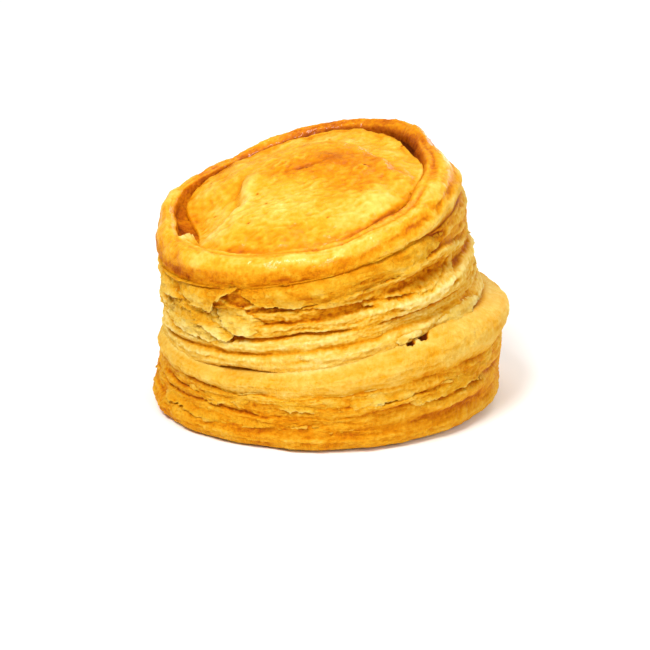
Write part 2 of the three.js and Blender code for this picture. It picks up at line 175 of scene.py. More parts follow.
CASE_SKINS = tuple(Skin(*row) for row in (
    (((194, 33), (202, 31), (212, 31.4), (223, 31), (230, 31), (234, 34.5), (244, 39)),
     ((194, 34), (202, 42), (230, 43), (244, 39)), 0.45, 0.9, -0.03, 1.4),
    (((198, 31), (204, 29.2), (216, 29.3), (229, 26.8), (237, 25.6), (240, 27)),
     ((198, 31.5), (204, 34), (229, 33), (240, 28)), 0.3, 0.7, -0.06, 1.2),
    (((200, 39), (209, 37.5), (216, 38.5), (222, 37.5), (230, 40.5)),
     ((200, 39), (204, 43), (230, 43)), 0.7, 0.5, -0.06, 1.0),
    (((230, 33), (235, 29), (240, 27), (246, 27), (252, 30)),
     ((230, 33), (238, 34.5), (246, 34), (252, 31)), 0.15, 0.5, -0.12, 1.0),
    (((194, 28), (206, 24), (231, 24), (238, 27)),
     ((194, 28), (206, 33), (225, 34), (238, 28)), 0.0, 0.4, -0.08, 0.7),
    (((243, 38), (250, 35), (258, 34.5), (272, 36), (290, 39), (312, 43), (322, 45), (330, 48.5)),
     ((243, 38), (250, 45), (275, 48), (300, 50), (316, 48.6), (330, 49)), 0.1, 0.3, -0.03, 0.6),
    (((312, 27.4), (322, 27.4), (336, 27.6), (346, 28.2)),
     ((312, 28.4), (322, 30.6), (338, 31.4), (346, 29.4)), 0.4, 0.9, -0.12, 0.5),
    (((42, 30), (64, 28.5), (80, 29), (96, 27.5), (110, 28), (126, 31)),
     ((42, 30), (64, 34), (105, 34), (126, 31)), 0.15, 0.5, -0.02, 1.0),
    (((122, 38), (136, 33), (148, 34.5), (166, 38)),
     ((122, 38), (136, 42), (150, 42), (166, 38)), 0.2, 0.6, -0.03, 1.0),
    (((4, 42), (12, 38), (20, 39), (28, 37), (40, 42)),
     ((4, 42), (12, 46), (28, 45), (40, 42)), 0.05, 0.35, 0.0, 1.0),
    (((294, 26.4), (298, 25.6), (303, 26.4), (308, 27.2)),
     ((294, 26.4), (298, 27.8), (303, 28.4), (308, 28.2)), 0.3, 0.7, -0.14, 0.6),
))
# Places where a leaf is broken away and its crumb shows, and thick torn ridges and blisters, in the same way.
# depth: below the leaf around it. edge: width of the step. crumb: depth of the pores.
Sink = namedtuple("Sink", "lower upper depth edge crumb bake")
SINKS = tuple(Sink(*row) for row in (
    (((235, 36), (243, 33.5), (252, 36)), ((235, 36), (243, 38.5), (252, 36)), 0.9, 0.3, 0.1, 0.14),
    (((231, 26), (238, 24.5), (246, 26)), ((231, 26), (238, 28), (246, 26)), 1.4, 0.3, 0.1, 0.18),
    (((254, 38), (263, 36.5), (273, 39)), ((254, 38), (263, 40.5), (273, 39)), -0.7, 1.0, 0.0, 0.04),
    (((266, 35), (286, 36), (300, 36), (312, 36), (322, 38), (336, 44)),
     ((266, 35), (286, 38.5), (301, 41), (314, 43.5), (326, 45), (336, 44)), -1.3, 0.5, 0.2, 0.0),
    (((288, 35), (304, 33.2), (314, 33.2), (322, 34.8), (334, 40), (340, 43)),
     ((288, 36), (304, 36), (314, 36.6), (323, 38.8), (334, 42), (340, 43.5)), -0.5, 0.35, 0.2, -0.14),
))
RAGGED = ((4.0, 1.0), (1.6, 0.5), (0.8, 0.3))  # size and depth of the tears along an edge
SINK_RAGGED = 0.5
ROLL_HOLES = ((19.0, -34.5, 0.7), (22.0, -32.4, 0.9))  # places and sizes of small holes on top of the roll
HOLE_DEPTH = 1.3
HOLE_STRETCH = 2.4
# the holes are darker inside: painted shade
HOLE_SHADE = 0.8
SKIN_THICKNESS = 0.3
SKIN_RELIEF = 0.8
CURL_LENGTH = 1.1
TUCK = 2.0  # how far the held edge of a skin dips under
TUCK_LENGTH = 0.7
EDGE_TONE_AND_SHADE = 0.12  # how much paler the free edge is, and how much darker the held one: painted shade where it dips under
SKIN_SHADE = {"base": 0.06, "case": 0.16}
SHADE_LENGTH = 1.0
ROW_HEIGHT = 0.3  # about the height of a row of the mesh

# Loose flakes along the seams: how many, half widths and half heights in mm, lift and curl
FLAKE_COUNT = {"base": 12, "case": 10}
FLAKE_WIDTH = (1.5, 4.0)
FLAKE_HEIGHT = (0.3, 0.7)
FLAKE_LIFT = 0.05
FLAKE_CURL = 0.6
FLAKE_SEED = 7


def compass(values, angle):
    """Smooth size around the puff through its left, front, right and back values."""
    left, front, right, back = values
    saddle = (left + right - front - back) / 4
    swing = (right - left) / 2 * np.cos(angle) + (back - front) / 2 * np.sin(angle)
    return sum(values) / 4 + swing + saddle * np.cos(2 * angle)


def wave(angle, seed):
    """A gentle periodic unevenness between -1 and 1."""
    return sum(share * np.sin(turns * angle + phase * seed) for turns, share, phase in RIPPLES)


def swell(bump, angle):
    """A smooth swelling centred on one angle."""
    at, spread, by = bump
    return by * np.exp((np.cos(angle - math.radians(at)) - 1) / (1 - math.cos(math.radians(spread))))


def swells(bumps, angle):
    return sum(swell(bump, angle) for bump in bumps)


def lattice(cell, seed):
    """Repeatable random numbers from -1 to 1 at whole-numbered points."""
    mixed = sum(cell[..., k] * HASH[k] for k in range(3))
    mixed = (mixed + seed * HASH[3]) & 0xFFFFFFFF
    mixed = ((mixed ^ (mixed >> 13)) * HASH[2]) & 0xFFFFFFFF
    return ((mixed ^ (mixed >> 16)) & 0xFFFF) / 0x7FFF - 1


def noise(points, size, seed):
    """Smooth unevenness, mostly from -1 to 1. size: width of its bumps in mm, or one for each axis."""
    place = points / np.asarray(size, float) + seed * 7.31
    cell = np.floor(place).astype(np.int64)
    inside = place - cell
    blend = inside ** 3 * (inside * (inside * 6 - 15) + 10)
    total = 0.0
    for corner in np.ndindex(2, 2, 2):
        towards = inside - corner
        slope = sum(lattice(cell + corner, seed * 3 + k) * towards[..., k] for k in range(3))
        weight = np.prod(np.where(np.array(corner) == 1, blend, 1 - blend), axis=-1)
        total = total + weight * slope
    return 1.5 * total


def layered(points, size, seed, octaves):
    """Noise with finer and finer bumps on top."""
    size = np.asarray(size, float)
    return sum(noise(points, size / 2 ** k, seed + 11 * k) / 2 ** k for k in range(octaves))


def outward(angle):
    """Direction away from the middle."""
    return np.stack([np.cos(angle), np.sin(angle), np.zeros_like(angle)], -1)


def along(angle, size, seed):
    """Noise along a line round the puff, with bumps size mm long."""
    return noise(outward(angle) * CASE_RADIUS, size, seed)


def bumps_along(bumps, angle, seed):
    """Noise of several sizes along a line round the puff."""
    return sum(depth * along(angle, size, seed + own) for size, depth, own in bumps)


def smooth(low, high, value):
    share = np.clip((value - low) / (high - low), 0, 1)
    return share * share * (3 - 2 * share)


def fade(far, length):
    """1 at an edge, falling away with the distance from it."""
    return np.exp(-np.maximum(far, 0) / length)


def bell(far, width):
    """1 in the middle, falling away to both sides."""
    return np.exp(-((far / width) ** 2))


def mix(a, b, share):
    return a + (b - a) * share


def curve(points, count):
    """Rounded path of count points through a few points, by Catmull-Rom segments."""
    p = np.array([points[0], *points, points[-1]], float)
    t = np.linspace(0, len(points) - 1, count)
    i = np.minimum(t.astype(int), len(points) - 2)
    f = (t - i)[:, None]
    a, b, c, d = p[i], p[i + 1], p[i + 2], p[i + 3]
    bend = (2 * a - 5 * b + 4 * c - d) * f ** 2 + (3 * b - a - 3 * c + d) * f ** 3
    return 0.5 * (2 * b + (c - a) * f + bend)


def base_radius(leaf, angle):
    flare = swell(FLARE, angle) if leaf == 0 else 0
    return BASE_RADIUS + BASE_LEAVES[leaf].bulge + flare + LEAF_WAVE * wave(angle, SEEDS["base"] + leaf)


def case_radius(leaf, angle):
    pushed = swell(CASE_PUSHES[leaf], angle) if leaf in CASE_PUSHES else 0
    return CASE_RADIUS + CASE_LEAVES[leaf].bulge + LEAF_WAVE * wave(angle, SEEDS["case"] + leaf) + pushed


def rim_radius(angle):
    return CASE_RADIUS + RIM_BULGE + swells(RIM_PUSHES, angle) + LEAF_WAVE * wave(angle, SEEDS["rim"])


def across_rim(share, angle):
    """Radius at a share of the way across the rim, from its outer face to the wall of the well."""
    return rim_radius(angle) - share * (compass(RIM_WIDTH, angle) + swell(RIM_THICK, angle))


def rim_plane(x, y):
    """Height of the tilted plane through the rim's crest."""
    left, front, right, back = RIM_CREST
    crest_radius = CASE_RADIUS + RIM_BULGE - (RIM_WIDTH[0] + RIM_WIDTH[2]) / 4
    return (left + right) / 2 + ((right - left) / 2 * (x - RIM_SHIFT) + (back - front) / 2 * y) / crest_radius


def grown_together(angle):
    """How far the lid and the rim have grown together, from 0 to 1."""
    return np.clip(1 - swells(OPEN_SIDES, angle), 0, 1)


def rim_inside(angle):
    """Height of the rim's inner edge above the plane of its crest."""
    _, drop, sag = RIM_PROFILE[-1]
    return compass(RIM_FILL, angle) * grown_together(angle) - drop - sag * swells(RIM_SAGS, angle)


def seam(leaves, leaf, radius, above, seed, angle):
    """Radius and height of the seam on top of a leaf. It opens and closes as it goes round."""
    notch = leaves[leaf].notch * np.clip(0.7 + 1.7 * along(angle, 10, seed + 40), 0.0, 1.7)
    wander = bumps_along(SEAM_WANDER, angle, seed)
    height = compass(leaves[leaf].top, angle) + SEAM_WAVE * wave(angle, seed)
    if leaves is BASE_LEAVES:
        wander = BASE_WANDER * wander
        rise = leaf == ROLL_LEAF
    else:
        notch = notch * (1 - swell(CLOSED_SEAMS[leaf], angle))
        rise = RISE_SHARE * (leaf == 0)
    height = height + rise * swell(ROLL_RISE, angle)
    return np.minimum(radius, above) - notch, height + wander * (leaves[leaf].notch > 0)


FIELDS = ("radius", "outer", "shift", "height", "level", "bake", "gloss", "rough", "sheet", "scale")


class Surface:
    """Rows of rings from the bottom middle over the outside to the top middle, with values at each point.

    outer: the radius without its seams. level: height along the leaves, for grain that follows them.
    """

    def __init__(self, count):
        self.angle = np.arange(count) * 2 * np.pi / count
        self.rows = {name: [] for name in FIELDS}

    def add(self, **values):
        """Adds rows. Each value is one number, one ring, or rows of rings."""
        values.setdefault("outer", values["radius"])
        values.setdefault("level", values["height"])
        count = max(np.shape(v)[0] if np.ndim(v) == 2 else 1 for v in values.values())
        for name, rows in self.rows.items():
            value = np.asarray(values.get(name, 0.0), float)
            rows.append(np.broadcast_to(value, (count, len(self.angle))))

    def close(self):
        """Joins the rows into grids."""
        for name, rows in self.rows.items():
            setattr(self, name, np.vstack(rows).copy())
        self.turn = np.broadcast_to(self.angle, self.radius.shape)

    def count(self):
        return sum(len(rows) for rows in self.rows["radius"])

    def points(self):
        x = self.shift + self.radius * np.cos(self.turn)
        y = self.radius * np.sin(self.turn)
        return np.stack([x, y, self.height], -1)

    def flat_points(self):
        """The points with their level for height."""
        points = self.points()
        points[..., 2] = self.level
        return points


def add_leaves(surface, kind, leaves, radii, below, shift):
    """Adds the leaves of a piece. radii: of each leaf and of what lies on top. Returns the last seam."""
    angle = surface.angle
    for i, leaf in enumerate(leaves):
        above = seam(leaves, i, radii[i], radii[i + 1], SEEDS[f"{kind}_seam"] + i, angle)
        share = ((np.arange(leaf.rows) + 0.5) / leaf.rows)[:, None]
        (low_radius, low), (high_radius, high) = below, above
        edge = mix(low_radius, high_radius, share)
        full = 1 - np.abs(2 * share ** leaf.skew - 1) ** leaf.square
        bumps = bumps_along(LEAF_BUMPS, angle, SEEDS[f"{kind}_leaf"] + 10 * i)
        outer = np.maximum(radii[i] + bumps, edge)
        surface.add(
            radius=mix(edge, outer, full), outer=outer, height=mix(low, high, share),
            level=mix(np.mean(low), np.mean(high), share),
            shift=mix(shift, leaf.shift, np.minimum(1, 3 * share)),
            # darker towards the seams: painted shade in the folds
            bake=leaf.bake + SEAM_SHADE[kind] * np.abs(2 * share - 1) ** 4,
            rough=leaf.rough, sheet=leaf.sheet, scale=leaf.scale,
        )
        below, shift = above, leaf.shift
    return below


def laminate(surface, seed):
    """Splits the leaves into thin sheets that wander up and down and stand out by different amounts."""
    points = surface.flat_points()
    wander = 1.5 * noise(points, (14, 14, 5), seed) + 0.4 * noise(points, (4, 4, 2), seed + 1)
    level = (surface.level + wander) / SHEET_THICKNESS
    index = np.floor(level)
    points[..., 2] = index * SHEET_SPREAD
    stand = noise(points, 6.5, seed + 2) + 0.4 * noise(points, 1.7, seed + 3)
    edge = np.abs(level - index - 0.5) * 2
    surface.radius += surface.sheet * (stand - 0.7 * edge ** 6)


def torn_scales(surface, seed):
    """Irregular scales of torn dough, each a thin step with a crisp edge."""
    points = surface.flat_points()
    for i, (size, step) in enumerate(SCALES):
        field = layered(points, size, seed + 20 * i, 3) + 0.25 * np.sin(2.1 * surface.level + i)
        surface.radius += surface.scale * step * (smooth(-SCALE_EDGE, SCALE_EDGE, field) - 0.5)


def patch_distances(patch, surface, tears, seed):
    """The columns that a patch covers, and how far their points lie inside it, in mm.

    Then how far they lie above its lower edge, under its upper one, and from its ends.
    tears: how ragged the edges are.
    """
    count = len(surface.angle)
    start, end = patch.lower[0][0], patch.lower[-1][0]
    columns = np.arange(int(start / 360 * count), int(end / 360 * count) + 1) % count
    degrees = start + (np.degrees(surface.angle[columns]) - start) % 360
    low = np.interp(degrees, *zip(*patch.lower))
    high = np.interp(degrees, *zip(*patch.upper))
    height = surface.height[:, columns]
    points = surface.points()[:, columns]
    ragged = tears * sum(depth * noise(points, size, seed + i) for i, (size, depth) in enumerate(RAGGED))
    ends = np.radians(np.minimum(degrees - start, end - degrees)) * CASE_RADIUS
    above = height - low + ragged
    under = high - height + ragged
    return columns, np.minimum(np.minimum(above, under), ends + 0.5 * ragged), above, under, ends


def break_away(surface, seed):
    """Sinks broken places into the case and raises torn ridges."""
    around = blur(surface.outer, 5, 5)
    for i, sink in enumerate(SINKS):
        columns, inside, *_ = patch_distances(sink, surface, SINK_RAGGED, seed + 10 * i)
        cover = smooth(-sink.edge, sink.edge, inside)
        spot = CASE_RADIUS * outward(surface.turn[:, columns])
        spot[..., 2] = surface.height[:, columns]
        crumb = sink.crumb * layered(spot, (1.6, 1.6, 1.0), seed + 5, 2)
        sunk = around[:, columns] - sink.depth + crumb
        surface.radius[:, columns] = mix(surface.radius[:, columns], sunk, cover)
        # darker in the crumb's pores and paler on the crumb between them: painted shade and light
        surface.bake[:, columns] += smooth(0, 2 * sink.edge, inside) * (sink.bake - 0.6 * crumb)
        surface.sheet[:, columns] *= 1 - cover
        surface.scale[:, columns] *= 1 - cover


def grid_normals(points):
    """Outward directions of a grid of rows and rings."""
    round_about = np.roll(points, -1, 1) - np.roll(points, 1, 1)
    upward = np.gradient(points, axis=0)
    normal = np.cross(round_about, upward)
    return normal / np.maximum(np.linalg.norm(normal, axis=-1, keepdims=True), 1e-9)


def grain(points, rough, seed):
    """Fine sideways grain of baked leaves, with grit on top."""
    lines = layered(points, (7.0, 7.0, 0.8), seed, 2)
    lumps = noise(points, (3.4, 3.4, 1.8), seed + 3)
    grit = noise(points, 0.8, seed + 5)
    return rough * (0.6 * lines + 0.8 * lumps + 0.8 * grit)


def blur(grid, rows, columns):
    """Box blur of a grid that closes on itself sideways."""
    for axis, width, mode in ((0, rows, "edge"), (1, columns, "wrap")):
        grid = np.swapaxes(grid, 0, axis)
        total = np.cumsum(np.pad(grid, [(width + 1, width)] + [(0, 0)] * (grid.ndim - 1), mode), axis=0)
        span = 2 * width + 1
        grid = np.swapaxes((total[span:] - total[:-span]) / span, 0, axis)
    return grid


def hollowness(points, rows, columns):
    """How far each point lies below the surface around it, in mm."""
    around = blur(points, rows, columns)
    return np.sum((around - points) * grid_normals(around), axis=-1)


def shade_and_browning(points):
    """Tone of the leaves: darker in hollows, which is painted shade, paler on edges, which is a painted
    highlight, and patchy.
    """
    close = np.clip(hollowness(points, 3, 3) / 0.3, -1.2, 0.9)
    wide = np.clip(hollowness(points, 9, 9) / 0.7, -1.0, 0.9)
    patchy = 0.07 * noise(points, (9, 9, 4), 3) + 0.05 * noise(points, (3, 3, 1.2), 4)
    return 0.13 * close + 0.13 * wide + patchy


def new_object(name, data):
    """Puts an object with this data into the scene."""
    thing = bpy.data.objects.new(name, data)
    scene.collection.objects.link(thing)
    return thing


def make_mesh(name, points, faces, corners, values):
    """A smooth mesh from points in mm. corners: its map for every face corner. values: kept at each point."""
    mesh = bpy.data.meshes.new(name)
    mesh.vertices.add(len(points))
    mesh.vertices.foreach_set("co", (points * MM).astype(np.float32).ravel())
    mesh.loops.add(faces.size)
    mesh.loops.foreach_set("vertex_index", faces.astype(np.int32).ravel())
    mesh.polygons.add(len(faces))
    mesh.polygons.foreach_set("loop_start", np.arange(0, faces.size, faces.shape[1], dtype=np.int32))
    mesh.polygons.foreach_set("use_smooth", np.ones(len(faces), bool))
    layer = mesh.uv_layers.new(name="OFBake")
    layer.data.foreach_set("uv", corners.astype(np.float32).ravel())
    for key, value in values.items():
        layer = mesh.attributes.new(key, "FLOAT", "POINT")
        layer.data.foreach_set("value", value.astype(np.float32))
    mesh.update(calc_edges=True)
    return new_object(name, mesh)


def quad_corners(grid):
    """The four corners of each square of a grid."""
    return grid[:-1, :-1], grid[:-1, 1:], grid[1:, 1:], grid[1:, :-1]


def ring_mesh(name, points, values, bottom, top):
    """A closed mesh from rows of rings and two middle points, with values stored at each point."""
    rows, count = points.shape[:2]
    numbers = np.pad(np.arange(rows * count).reshape(rows, count), ((1, 1), (0, 1)), "wrap")
    numbers[0], numbers[-1] = rows * count, rows * count + 1
    points = np.concatenate([points.reshape(-1, 3), [bottom, top]])
    steps = np.linalg.norm(np.diff(points[numbers[:, :-1]], axis=0), axis=-1).mean(1)
    path = np.cumsum([0, *steps])
    places = np.stack(np.meshgrid(np.linspace(0, 1, count + 1), path / path[-1]), -1)

    def triangles(grid):
        """Two triangles for each square, and one where it ends in a middle point."""
        a, b, c, d = quad_corners(grid)
        halves = np.stack([a, b, c], 2)[1:], np.stack([a, c, d], 2)[:-1]
        return np.concatenate(halves).reshape(-1, 3, *grid.shape[2:])

    flat = {key: np.append(grid.ravel(), [grid[0].mean(), grid[-1].mean()]) for key, grid in values.items()}
    return make_mesh(name, points, triangles(numbers), triangles(places), flat)


class Sheets:
    """Thin sheets peeled off a surface, gathered into one mesh."""

    def __init__(self, surface):
        self.surface = surface
        self.cover = blur(surface.outer, 8, 6)
        self.bake = blur(surface.bake, 8, 10)
        self.parts = []
        self.count = 0

    def peel(self, columns, inside, free, held, lift, curl, bake, lumpy, seed):
        """Adds the part of the surface that lies inside, lifted off. It curls out towards its free edge."""
        surface = self.surface
        within = inside > 0
        quads = np.any(quad_corners(within), axis=0)
        used = np.zeros_like(within)
        for corner in quad_corners(used):
            corner |= quads
        number = np.cumsum(used).reshape(used.shape) - 1 + self.count
        offset = lift + curl * fade(free, CURL_LENGTH) - (TUCK + lift) * fade(held, TUCK_LENGTH)
        radius = np.maximum(self.cover[:, columns], surface.radius[:, columns]) + offset
        turn = surface.angle[columns]
        x = surface.shift[:, columns] + radius * np.cos(turn)
        place = np.stack([x, radius * np.sin(turn), surface.height[:, columns]], -1)
        bumps = lumpy * SKIN_RELIEF * layered(place, (6, 6, 4), seed, 3)
        bumps = bumps + grain(place, surface.rough[:, columns], seed)
        place = place + outward(turn) * bumps[..., None]
        place = place + self.back_to_edge(place, inside)
        # paler on the skin's raised bumps and darker in its dips: painted light and shade on its relief
        tone = self.bake[:, columns] + bake - 0.25 * np.clip(bumps, -0.6, 0.6)
        # the free edge is paler; the held edge is darker, painted shade where it dips under
        tone = tone - EDGE_TONE_AND_SHADE * fade(free, 0.6) + EDGE_TONE_AND_SHADE * fade(held, 0.5)
        tone = tone + 0.1 * layered(place, (8, 8, 3), seed + 5, 4)
        faces = np.stack(quad_corners(number), -1)[quads]
        local = np.meshgrid(*(np.linspace(0, 1, count) for count in reversed(used.shape)))
        corners = np.stack(quad_corners(np.stack(local, -1)), 2)[quads]
        if len(faces):
            self.parts.append((place[used], faces, corners, tone[used]))
            self.count += int(used.sum())

    def back_to_edge(self, place, inside):
        """Steps that bring points just outside a sheet back to its edge, so that the edge runs smoothly."""
        down, over = np.gradient(inside)
        share = np.where(inside < 0, -inside, 0) / np.maximum(down ** 2 + over ** 2, 1e-6)
        rows, columns = (np.clip(share * slope, -1, 1)[..., None] for slope in (down, over))
        return rows * np.gradient(place, axis=0) + columns * np.gradient(place, axis=1)

    def build(self, name):
        points, faces, corners, tones = zip(*self.parts)
        cells = math.ceil(math.sqrt(len(self.parts)))
        mapped = [(0.05 + 0.9 * c + np.array(divmod(i, cells))) / cells for i, c in enumerate(corners)]
        values = {"bake": np.concatenate(tones), "gloss": np.zeros(self.count)}
        piece = make_mesh(name, np.concatenate(points), np.concatenate(faces), np.concatenate(mapped), values)
        thick = piece.modifiers.new("thickness", "SOLIDIFY")
        thick.thickness = SKIN_THICKNESS * MM
        thick.offset = -1
        return piece


def torn_skins(sheets, skins, rows, shade, seed):
    """Skins that hang over the leaves. rows: how many rows they may cover. shade: painted shade on the leaves
    under them and just below their free edges.
    """
    surface = sheets.surface
    for i, skin in enumerate(skins):
        columns, inside, above, under, ends = patch_distances(skin, surface, skin.tears, seed + 10 * i)
        inside[rows:] = -1
        under[:rows] = np.minimum(under[:rows], ROW_HEIGHT * np.arange(rows, 0, -1)[:, None])
        held = np.minimum(under, 0.5 * ends)
        below = bell(np.minimum(above, 0), SHADE_LENGTH)
        below = below * smooth(-0.5, 0.5, under) * smooth(0, 2, ends)
        surface.bake[:rows, columns] += shade * below[:rows]
        looks = (skin.lift, skin.curl, skin.bake, skin.tears)
        sheets.peel(columns, inside, above, held, *looks, seed + 100 + 10 * i)


def loose_flakes(sheets, leaves, count, seed):
    """Small flakes that peel away along the seams."""
    surface = sheets.surface
    draw = np.random.default_rng(seed)
    spacing = 2 * np.pi * CASE_RADIUS / len(surface.angle)
    points = surface.flat_points()
    for i in range(count):
        half_width = draw.uniform(*FLAKE_WIDTH)
        half_height = draw.uniform(*FLAKE_HEIGHT)
        middle = int((i + draw.uniform()) / count * len(surface.angle))
        reach = int(half_width / spacing) + 3
        steps = np.arange(-reach, reach + 1)
        columns = (middle + steps) % len(surface.angle)
        top = np.mean(leaves[draw.integers(len(leaves) - 2)].top)
        across = steps * spacing
        rise = surface.level[:, columns] - top - draw.uniform(-0.4, 0.8) - draw.uniform(-0.25, 0.25) * across
        ragged = 1.3 * layered(points[:, columns], 1.6, seed + i, 2)
        inside = half_height * (1 + ragged - np.hypot(across / half_width, rise / half_height))
        free = half_height + rise * (1 if draw.uniform() < 0.7 else -1)
        inside[np.abs(rise) > 2 * half_height] = -1
        curl = FLAKE_CURL * draw.uniform(0.4, 1)
        bake = -draw.uniform(0, 0.06)
        sheets.peel(columns, inside, free, 2 * half_height - free, FLAKE_LIFT, curl, bake, 0.3, i)


def seat_rows(surface, roll_top, lift, shares):
    """The surface where the case stands on the base."""
    middle = sum(BASE_LEAVES[ROLL_LEAF].top) / 4
    for share in shares:
        surface.add(
            radius=SEAT_RADIUS * share, height=mix(middle, roll_top, share) + lift,
            shift=CASE_LEAVES[0].shift * share, bake=SEAT_SHADE,
        )
    return middle + lift


def roll_height(angle):
    """Height of the roll's inner edge, where the case stands."""
    return seam(BASE_LEAVES, ROLL_LEAF, 0, 0, SEEDS["base_seam"] + ROLL_LEAF, angle)[1]


def foot_fillet(points, angle):
    """Rise of the roll's top where it has grown onto the case."""
    x, y = points[..., 0] - CASE_LEAVES[0].shift, points[..., 1]
    beside = np.hypot(x, y) - case_radius(0, np.arctan2(y, x))
    return FOOT_FILLET * bell(beside, FILLET_WIDTH) * (1 - swell(UNDERCUT, angle))


def roll_holes(points):
    """Where the torn holes on top of the roll are: 1 inside them, 0 outside."""
    holes = 0.0
    ragged = 0.9 * layered(points, 1.8, 64, 2)
    for x, y, size in ROLL_HOLES:
        off_x, off_y = points[..., 0] - x, points[..., 1] - y
        across = (off_x * x + off_y * y) / math.hypot(x, y)
        beside = (off_x * y - off_y * x) / math.hypot(x, y)
        far = np.hypot(across, beside / HOLE_STRETCH) + ragged
        holes = holes + 1 - smooth(0.3 * size, 1.2 * size, far)
    return holes


def make_base():
    """Base disc: flat underside, bottom crust, thin leaves and the swollen roll."""
    surface = Surface(SEGMENTS)
    angle = surface.angle
    foot_radius = base_radius(0, angle) - FOOT_INSET - swell(LIFT, angle)
    for share in UNDERSIDE_SHARES:
        surface.add(radius=foot_radius * share, height=0.0, level=share - 1, bake=UNDERSIDE_BAKE, rough=0.02)
    radii = [base_radius(i, angle) for i in range(len(BASE_LEAVES))] + [np.full_like(angle, SEAT_RADIUS)]
    _, seat = add_leaves(surface, "base", BASE_LEAVES, radii, (foot_radius, np.zeros_like(angle)), 0.0)
    leaf_rows = surface.count() - BASE_LEAVES[ROLL_LEAF].rows
    middle = seat_rows(surface, seat, 0.0, (1.0, *reversed(SEAT_SHARES)))
    surface.close()
    laminate(surface, 320)
    torn_scales(surface, 330)
    points = surface.points()
    off_floor = smooth(0.3, 1.2, surface.height)
    relief = off_floor * grain(surface.flat_points(), surface.rough, 5)
    points = points + grid_normals(points) * relief[..., None]
    points[..., 2] = np.maximum(points[..., 2], 0)
    roll_top = np.mean(BASE_LEAVES[ROLL_LEAF].top)
    on_top = smooth(roll_top - 2, roll_top, surface.level)
    holes = on_top * roll_holes(points)
    points[..., 2] += on_top * foot_fillet(points, surface.turn) - HOLE_DEPTH * holes
    sheets = Sheets(surface)
    torn_skins(sheets, BASE_SKINS, leaf_rows, SKIN_SHADE["base"], 600)
    loose_flakes(sheets, BASE_LEAVES, FLAKE_COUNT["base"], FLAKE_SEED)
    # painted shade on the roll's top where the case stands on it, deepest under the undercut
    shade_under_case = on_top * (1 - smooth(0.0, 1.4, surface.radius - SEAT_RADIUS))
    shade_under_case = shade_under_case * (FOOT_SHADE["base"] + UNDERCUT_SHADE * swell(UNDERCUT, surface.turn))
    low = 1 - smooth(0, 3.5, surface.height)
    # painted shade in hollows and a painted highlight on edges, then painted shade under the case and in the
    # holes
    bake = surface.bake + 0.75 * shade_and_browning(points) + 0.05 * low + shade_under_case
    bake = bake + 0.1 * layered(points, (11, 11, 5), 61, 3) + HOLE_SHADE * holes
    body = ring_mesh("base_crust", points, {"bake": bake, "gloss": surface.gloss}, (0, 0, 0), (0, 0, middle))
    return body, sheets.build("base_flakes")


RIM_BAKE = 0.49
BROWN_CORNER = (206, 30, 0.08)
PALE_SIDE = (345, 40, 1.2)  # where the rim's outer face stays pale
# painted shade in the crease between the rim and the lid
RED_CREASE_SHADE = (309, 17, 0.33)
# painted shade in the gap at the left and at the back right, between the rim and the lid
GAP_SHADE = (188, 22, 0.27)
BACK_GAP_SHADE = (36, 22, 0.2)
PALE_EDGE = (188, 22, 0.7)  # where the lid's edge is left without its painted shade and stays pale
GAP_FLAP = (203, 6, 1.0)  # a pale flap between the rim and the lid
FLAP_DROP = 0.9
FLAP_PALE = 0.5
# the wall of the well beside the lid is darker: painted shade
WELL_SHADE = 0.58
RIM_LEVEL = 60  # levels of the rim's first row and of the wall of the well
WELL_LEVEL = 72


def rim_browning_and_shade(angle, share, drop):
    """The rim is browned at the back and the left corner and darker low on its outer face; towards the well
    it has painted shade, deepest in the crease by the lid and in the gaps.
    """
    at_back = smooth(-0.2, 0.7, np.sin(angle + 0.35))
    crease = swell(RED_CREASE_SHADE, angle)
    if share > 1:
        # the well's wall is darker: painted shade, deepest in the crease and the gaps, and browner at the
        # back
        return WELL_SHADE + 0.2 * at_back + crease + swells((GAP_SHADE, BACK_GAP_SHADE), angle)
    low = smooth(1.0, 4.5, drop) * (share < 0.5) * (1 - swell(PALE_SIDE, angle))
    # darker towards the well, less where the lid runs into the rim: painted shade in the crease
    inner = 0.12 * (1 - 0.8 * swell(LID_MERGE, angle)) + crease
    bake = RIM_BAKE + 0.24 * at_back + swell(BROWN_CORNER, angle)
    return bake + inner * smooth(0.7, 1.0, share) + 0.22 * low


def add_rim(surface):
    """Adds the rows of the rolled rim and of the wall of the well."""
    angle = surface.angle
    band_radius = case_radius(BAND_LEAF, angle) + (CASE_LEAVES[BAND_LEAF].shift - RIM_SHIFT) * np.cos(angle)
    for k, (share, drop, sag) in enumerate((*curve(RIM_PROFILE, RIM_ROWS), *WELL_ROWS)):
        radius = across_rim(share, angle)
        closed = swell(CLOSED_SEAMS[BAND_LEAF], angle) * smooth(2.5, 6.0, drop) * (share < 0.5)
        radius = mix(radius, np.maximum(radius, band_radius), closed)
        fold = drop - FOLD_DROP - bumps_along(FOLD_WANDER, angle, 0)
        radius = radius - swell(RIM_FOLD, angle) * bell(fold, FOLD_WIDTH) * (share < 0.3)
        height = rim_plane(RIM_SHIFT + radius * np.cos(angle), radius * np.sin(angle)) - drop
        height = height - sag * swells(RIM_SAGS, angle)
        height = height + compass(RIM_FILL, angle) * smooth(0.6, 1.0, share) * grown_together(angle)
        flap = swell(GAP_FLAP, angle + 0.08 * along(angle, 2.5, 82))
        flap = flap * smooth(0.7, 0.9, share) * (1 - smooth(1.25, 1.6, share))
        surface.add(
            radius=radius, height=height + flap * max(drop - FLAP_DROP, 0), level=RIM_LEVEL + 0.5 * k,
            shift=RIM_SHIFT, bake=rim_browning_and_shade(angle, share, drop) - FLAP_PALE * flap,
            gloss=1 - smooth(1.0, 4.0, drop), rough=0.16 + 0.1 * smooth(0.9, 1.05, share),
        )


